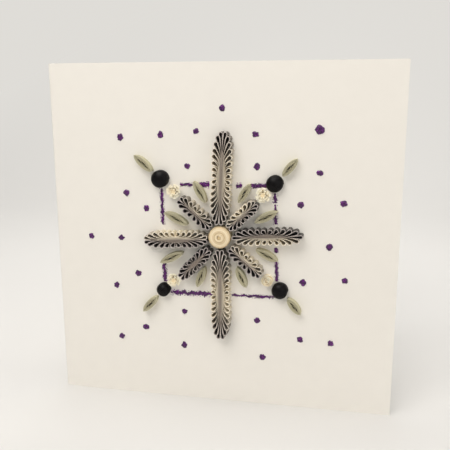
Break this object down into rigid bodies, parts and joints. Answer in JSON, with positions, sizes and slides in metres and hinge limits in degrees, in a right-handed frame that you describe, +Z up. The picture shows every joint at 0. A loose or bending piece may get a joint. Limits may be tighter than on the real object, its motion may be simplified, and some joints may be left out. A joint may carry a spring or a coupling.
{
  "type": "quilled snowflake greeting card",
  "caption": "Square folded paper card standing open on its edge, with a raised quilled paper snowflake, domed coils, leaves and glitter dots glued to its front.",
  "frame": {"origin": "middle of the front panel's bottom edge, half way through the sheet, on the surface that the card stands on", "axes": "+Z up, +X to the right along the front panel as seen from the front, -Y out of the decorated face"},
  "size_m": [0.151, 0.0955, 0.15],
  "materials": {
    "card_stock": "smooth matt white card",
    "petal_strips": "matt paper strips graded from charcoal to white, with pale cut edges",
    "cream_strips": "matt cream paper",
    "black_strips": "satin black paper",
    "sage_strips": "matt sage green paper",
    "glitter_glue": "dried purple glue full of fine glitter"
  },
  "bodies": {
    "root": {"card": "card_stock", "centre_coil": "cream_strips", "glitter_dots": "glitter_glue", "petal_top": "petal_strips", "petal_right": "petal_strips", "petal_bottom": "petal_strips", "petal_left": "petal_strips", "petal_upper_left": "petal_strips", "petal_upper_right": "petal_strips", "petal_lower_left": "petal_strips", "petal_lower_right": "petal_strips", "black_coil_upper_left": "black_strips", "black_coil_upper_right": "black_strips", "black_coil_lower_left": "black_strips", "black_coil_lower_right": "black_strips", "flower_upper_left": "cream_strips", "flower_upper_right": "cream_strips", "flower_lower_left": "cream_strips", "flower_lower_right": "cream_strips", "outer_leaf_upper_left": "sage_strips", "outer_leaf_upper_right": "sage_strips", "outer_leaf_lower_left": "sage_strips", "outer_leaf_lower_right": "sage_strips", "inner_leaf_top_left": "sage_strips", "inner_leaf_top_right": "sage_strips", "inner_leaf_left_upper": "sage_strips", "inner_leaf_left_lower": "sage_strips", "inner_leaf_right_upper": "sage_strips", "inner_leaf_right_lower": "sage_strips", "inner_leaf_bottom_left": "sage_strips", "inner_leaf_bottom_right": "sage_strips", "glitter_line_top": "glitter_glue", "glitter_line_left": "glitter_glue", "glitter_line_right": "glitter_glue", "glitter_line_bottom": "glitter_glue"}
  },
  "joints": []
}
